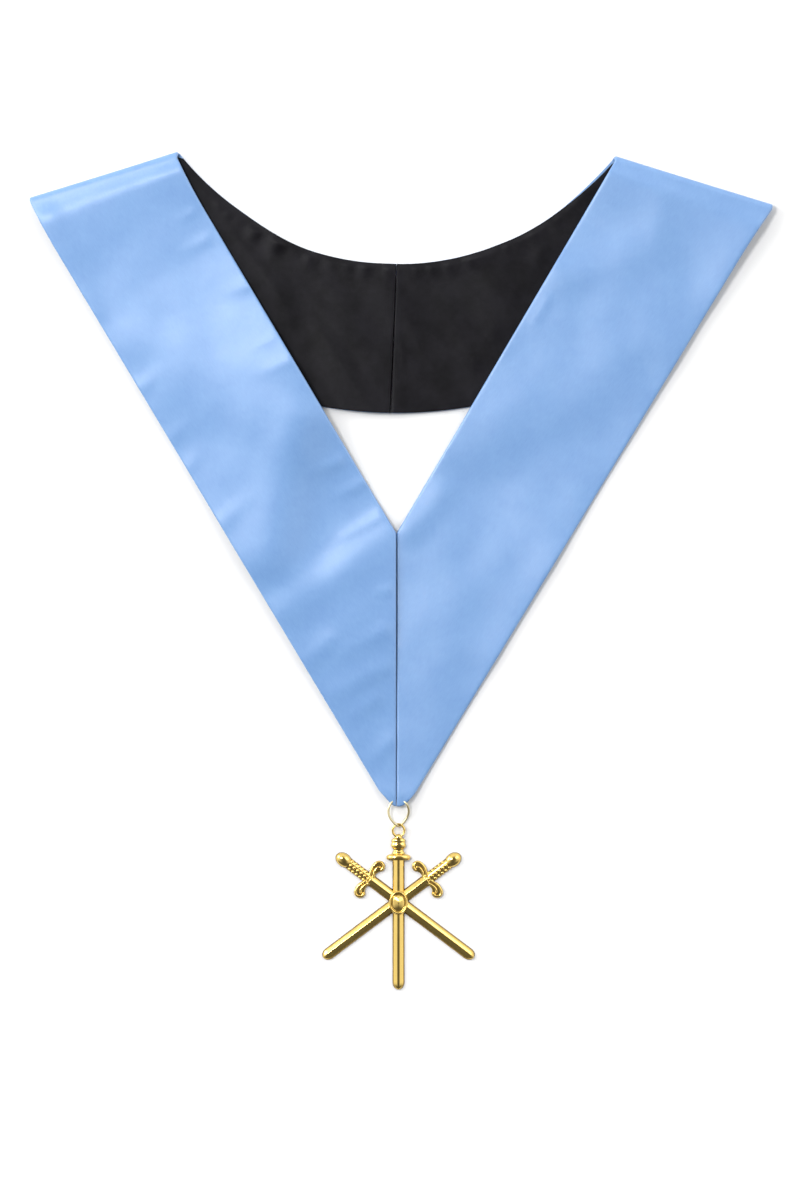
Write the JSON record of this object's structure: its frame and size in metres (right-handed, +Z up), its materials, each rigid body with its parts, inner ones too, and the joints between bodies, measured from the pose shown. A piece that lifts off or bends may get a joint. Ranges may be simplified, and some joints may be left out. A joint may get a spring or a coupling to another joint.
{
  "type": "regalia collar with jewel",
  "caption": "Flat-laid satin regalia collar with black lining, mitred front point, wire ring and cast crossed-swords jewel.",
  "frame": {"origin": "centre of the bounding box on the table, under the laid-out collar", "axes": "+Z up from the table, +Y from the jewel towards the neck, +X to the right in the picture"},
  "size_m": [0.495, 0.5574, 0.0093],
  "materials": {
    "satin": "light blue satin",
    "lining": "black plain weave lining",
    "ring_wire": "pale gold plated wire",
    "jewel_gold": "polished gold plate"
  },
  "bodies": {
    "root": {"satin_left": "satin", "satin_right": "satin", "lining_left": "lining", "lining_right": "lining", "suspension_ring": "ring_wire", "jewel": "jewel_gold"}
  },
  "joints": []
}
